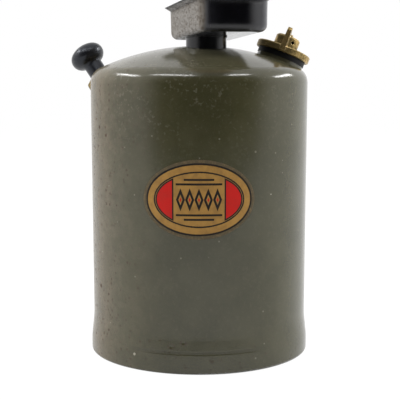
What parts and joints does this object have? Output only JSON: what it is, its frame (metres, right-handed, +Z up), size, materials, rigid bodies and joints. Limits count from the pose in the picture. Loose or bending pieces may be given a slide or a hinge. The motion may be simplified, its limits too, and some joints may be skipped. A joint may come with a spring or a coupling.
{
  "type": "petrol blowlamp",
  "caption": "Standing petrol blowlamp: round steel tank with a hand pump, a winged filler cap, a preheating dish, a burner in a flame tube and a wooden grip.",
  "frame": {"origin": "centre of the tank's base, on the surface that the lamp stands on", "axes": "+Z up along the tank's axis, -Y towards the tank's front, +X towards the filler cap; the burner points fifteen degrees from -Y towards +X"},
  "size_m": [0.1254, 0.2271, 0.236],
  "materials": {
    "olive_paint": "glossy olive grey-green stove enamel, speckled and chipped",
    "black_enamel": "glossy black enamel, scuffed on the dish",
    "plain_steel": "dull bare steel",
    "heated_steel": "steel tinted brown and blue by heat",
    "burner_brass": "cast brass darkened by heat",
    "aged_brass": "aged brass, olive where it is worn least",
    "clean_brass": "machined brass",
    "black_bakelite": "glossy black phenolic moulding",
    "black_rubber": "black fuel-proof rubber",
    "cup_leather": "greased leather",
    "cotton_wick": "twisted cotton",
    "graphite_cord": "graphited packing cord",
    "turned_wood": "turned hardwood, stained and varnished"
  },
  "bodies": {
    "lamp": {"tank_shell": "olive_paint", "tank_floor": "olive_paint", "neck_bush": "black_enamel", "dish_washer": "plain_steel", "preheat_dish": "black_enamel", "stem_washer": "plain_steel", "burner_body": "burner_brass", "vaporiser_tube": "burner_brass", "flame_tube": "heated_steel", "flame_tube_screws": "plain_steel", "jet_nipple": "clean_brass", "gland_packing": "graphite_cord", "gland_nut": "burner_brass", "riser_tube": "plain_steel", "riser_wick": "cotton_wick", "riser_strainer": "clean_brass", "filler_bush": "olive_paint", "pump_socket": "olive_paint", "pump_barrel": "clean_brass", "pump_gasket": "black_rubber", "pump_nut": "aged_brass", "foot_valve_body": "clean_brass", "foot_valve_plug": "clean_brass", "check_spring": "plain_steel", "upper_strap": "olive_paint", "lower_strap": "olive_paint", "handle_grip": "turned_wood", "handle_rod": "plain_steel", "handle_washers": "plain_steel", "handle_nuts": "plain_steel"},
    "gasket": {"filler_gasket": "black_rubber"},
    "cap": {"filler_cap": "aged_brass", "relief_plug": "clean_brass", "relief_spring": "plain_steel"},
    "relief": {"relief_disc": "clean_brass"},
    "plunger": {"pump_rod": "plain_steel", "pump_knob": "black_bakelite", "plunger_cup": "cup_leather", "plunger_washers": "clean_brass", "plunger_nut": "clean_brass"},
    "check": {"check_disc": "black_rubber"},
    "valve": {"valve_spindle": "plain_steel", "valve_wheel": "black_bakelite", "wheel_screw": "plain_steel"}
  },
  "joints": [
    {"name": "cap_rise", "type": "slide", "parent": "lamp", "child": "gasket", "axis": [0.3655, 0.0658, 0.9285], "range_m": [0, 0.0076]},
    {"name": "cap_turn", "type": "hinge", "parent": "gasket", "child": "cap", "pos_m": [0.04136, 0.00744, 0.148], "axis": [0.3655, 0.0658, 0.9285], "range_deg": [0, 1800]},
    {"name": "relief_lift", "type": "slide", "parent": "cap", "child": "relief", "axis": [0.3655, 0.0658, 0.9285], "range_m": [0, 0.0015], "stiffness_N_per_m": 500, "springref_m": -0.005, "deforming": ["relief_spring"]},
    {"name": "pump_stroke", "type": "slide", "parent": "lamp", "child": "plunger", "axis": [-0.5485, 0.2735, 0.7902], "range_m": [0, 0.086]},
    {"name": "check_lift", "type": "slide", "parent": "lamp", "child": "check", "axis": [0.5485, -0.2735, -0.7902], "range_m": [0, 0.0012], "stiffness_N_per_m": 200, "springref_m": -0.002, "deforming": ["check_spring"]},
    {"name": "valve_turn", "type": "hinge", "parent": "lamp", "child": "valve", "pos_m": [0.00305, -0.01139, 0.20807], "axis": [-0.2587, 0.9653, -0.0349], "range_deg": [0, 540]}
  ],
  "couplings": [
    {"joint": "cap_rise", "follows": "cap_turn", "m_per_rad": 0.00023873}
  ]
}
